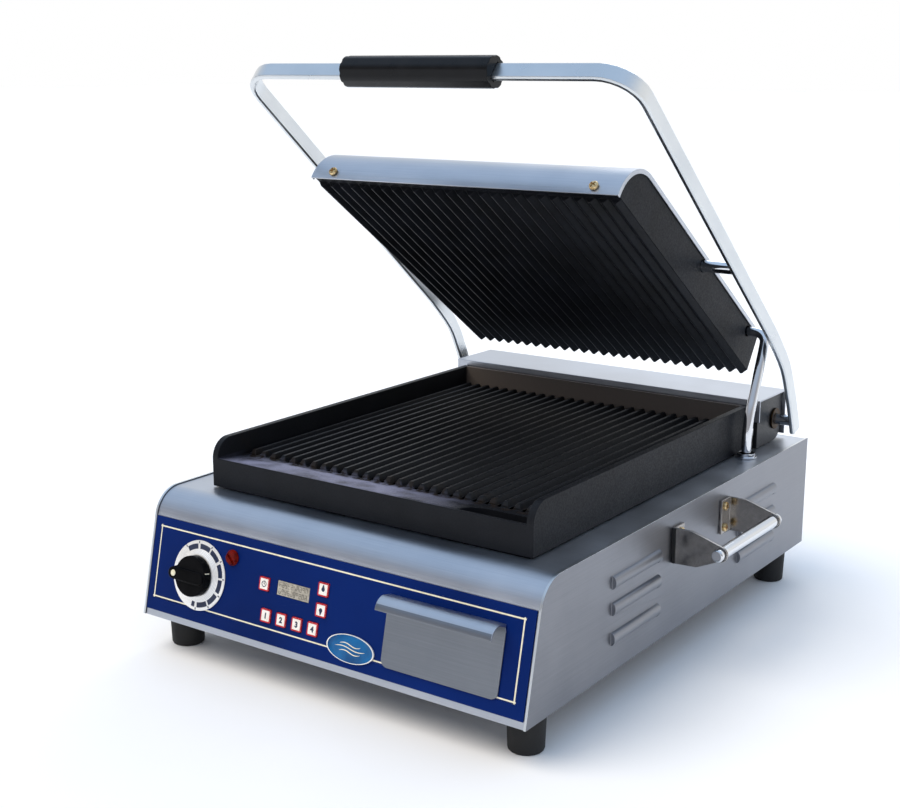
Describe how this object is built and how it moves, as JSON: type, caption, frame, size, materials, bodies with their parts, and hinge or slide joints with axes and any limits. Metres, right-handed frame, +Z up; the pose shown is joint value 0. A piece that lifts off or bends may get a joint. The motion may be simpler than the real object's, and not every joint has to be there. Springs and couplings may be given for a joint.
{
  "type": "panini press",
  "caption": "Countertop panini press: sloped stainless casing, ribbed cast-iron griddle and a ribbed upper plate hung in a U-shaped lift frame, shown with the lid raised.",
  "frame": {"origin": "middle of the footprint, on the table the feet stand on", "axes": "+X to the right seen from the front, +Y to the hinge at the back, +Z up"},
  "size_m": [0.5552, 0.6056, 0.5673],
  "materials": {
    "stainless_sheet": "satin brushed",
    "bright_bar": "polished",
    "cast_iron": "seasoned, matt",
    "black_steel": "black, semi-matt",
    "control_film": "blue printed film",
    "badge": "domed",
    "dial_scale": "bright",
    "black_plastic": "moulded, glossy",
    "grip_plastic": "moulded, fluted",
    "key_cap": "white film",
    "red_lens": "clear red",
    "display": "liquid crystal window",
    "rubber": "moulded",
    "zinc_plate": "zinc plated",
    "bronze": "sintered bronze",
    "circuit_board": "green laminate",
    "heater_sheath": "heat-darkened"
  },
  "bodies": {
    "base": {"casing_wrap": "stainless_sheet", "side_panel_left": "stainless_sheet", "side_panel_right": "stainless_sheet", "rear_panel": "stainless_sheet", "bottom_plate": "stainless_sheet", "foot_front_left": "rubber", "foot_front_right": "rubber", "foot_rear_left": "rubber", "foot_rear_right": "rubber", "control_panel": "control_film", "badge_plate": "badge", "dial_ring": "dial_scale", "thermostat_body": "zinc_plate", "pilot_lamp": "red_lens", "display_window": "display", "timer_board": "circuit_board", "drawer_rail_left": "zinc_plate", "drawer_rail_right": "zinc_plate", "lower_griddle": "cast_iron", "heat_shield": "zinc_plate", "lower_element": "heater_sheath", "housing_cover": "stainless_sheet", "hinge_bracket_left": "black_steel", "hinge_bracket_right": "black_steel", "hinge_bush_left": "bronze", "hinge_bush_right": "bronze", "balance_spring_left": "black_steel", "balance_spring_right": "black_steel", "cord_gland": "black_plastic", "conduit_collar": "bright_bar", "handle_bracket_front_left": "bright_bar", "handle_bracket_front_right": "bright_bar", "handle_bracket_rear_left": "bright_bar", "handle_bracket_rear_right": "bright_bar", "handle_bar_left": "bright_bar", "handle_bar_right": "bright_bar"},
    "lid_frame": {"lift_frame": "bright_bar", "handle_grip": "grip_plastic", "hinge_shaft": "bright_bar", "pivot_stud_left": "bright_bar", "pivot_stud_right": "bright_bar"},
    "upper_plate": {"upper_griddle": "cast_iron", "upper_cover": "stainless_sheet", "cover_screw_left": "bright_bar", "cover_screw_right": "bright_bar", "upper_element": "heater_sheath", "wiring_conduit": "bright_bar"},
    "drawer": {"drip_drawer": "stainless_sheet"},
    "knob": {"thermostat_knob": "black_plastic", "thermostat_shaft": "zinc_plate"},
    "key_program": {"key_program": "key_cap"},
    "key_up": {"key_up": "key_cap"},
    "key_down": {"key_down": "key_cap"},
    "key_preset_1": {"key_preset_1": "key_cap"},
    "key_preset_2": {"key_preset_2": "key_cap"},
    "key_preset_3": {"key_preset_3": "key_cap"},
    "key_preset_4": {"key_preset_4": "key_cap"}
  },
  "joints": [
    {"name": "lid_hinge", "type": "hinge", "parent": "base", "child": "lid_frame", "pos_m": [0, 0.258, 0.181], "axis": [1, 0, 0], "range_deg": [0, 38.54]},
    {"name": "upper_plate_pivot", "type": "hinge", "parent": "lid_frame", "child": "upper_plate", "pos_m": [0, 0.09947, 0.3656], "axis": [1, 0, 0], "range_deg": [-3.6, 0]},
    {"name": "drawer_slide", "type": "slide", "parent": "base", "child": "drawer", "axis": [0, -1, 0], "range_m": [0, 0.13]},
    {"name": "thermostat_turn", "type": "hinge", "parent": "base", "child": "knob", "pos_m": [-0.153, -0.28067, 0.08614], "axis": [0, -0.9754, 0.2204], "range_deg": [-285, 0]},
    {"name": "key_program_press", "type": "slide", "parent": "base", "child": "key_program", "axis": [0, 0.9754, -0.2204], "range_m": [0, 0.001], "stiffness_N_per_m": 400, "springref_m": -0.0005},
    {"name": "key_up_press", "type": "slide", "parent": "base", "child": "key_up", "axis": [0, 0.9754, -0.2204], "range_m": [0, 0.001], "stiffness_N_per_m": 400, "springref_m": -0.0005},
    {"name": "key_down_press", "type": "slide", "parent": "base", "child": "key_down", "axis": [0, 0.9754, -0.2204], "range_m": [0, 0.001], "stiffness_N_per_m": 400, "springref_m": -0.0005},
    {"name": "key_preset_1_press", "type": "slide", "parent": "base", "child": "key_preset_1", "axis": [0, 0.9754, -0.2204], "range_m": [0, 0.001], "stiffness_N_per_m": 400, "springref_m": -0.0005},
    {"name": "key_preset_2_press", "type": "slide", "parent": "base", "child": "key_preset_2", "axis": [0, 0.9754, -0.2204], "range_m": [0, 0.001], "stiffness_N_per_m": 400, "springref_m": -0.0005},
    {"name": "key_preset_3_press", "type": "slide", "parent": "base", "child": "key_preset_3", "axis": [0, 0.9754, -0.2204], "range_m": [0, 0.001], "stiffness_N_per_m": 400, "springref_m": -0.0005},
    {"name": "key_preset_4_press", "type": "slide", "parent": "base", "child": "key_preset_4", "axis": [0, 0.9754, -0.2204], "range_m": [0, 0.001], "stiffness_N_per_m": 400, "springref_m": -0.0005}
  ],
  "couplings": [
    {"joint": "upper_plate_pivot", "follows": "lid_hinge", "ratio": -0.09197}
  ]
}
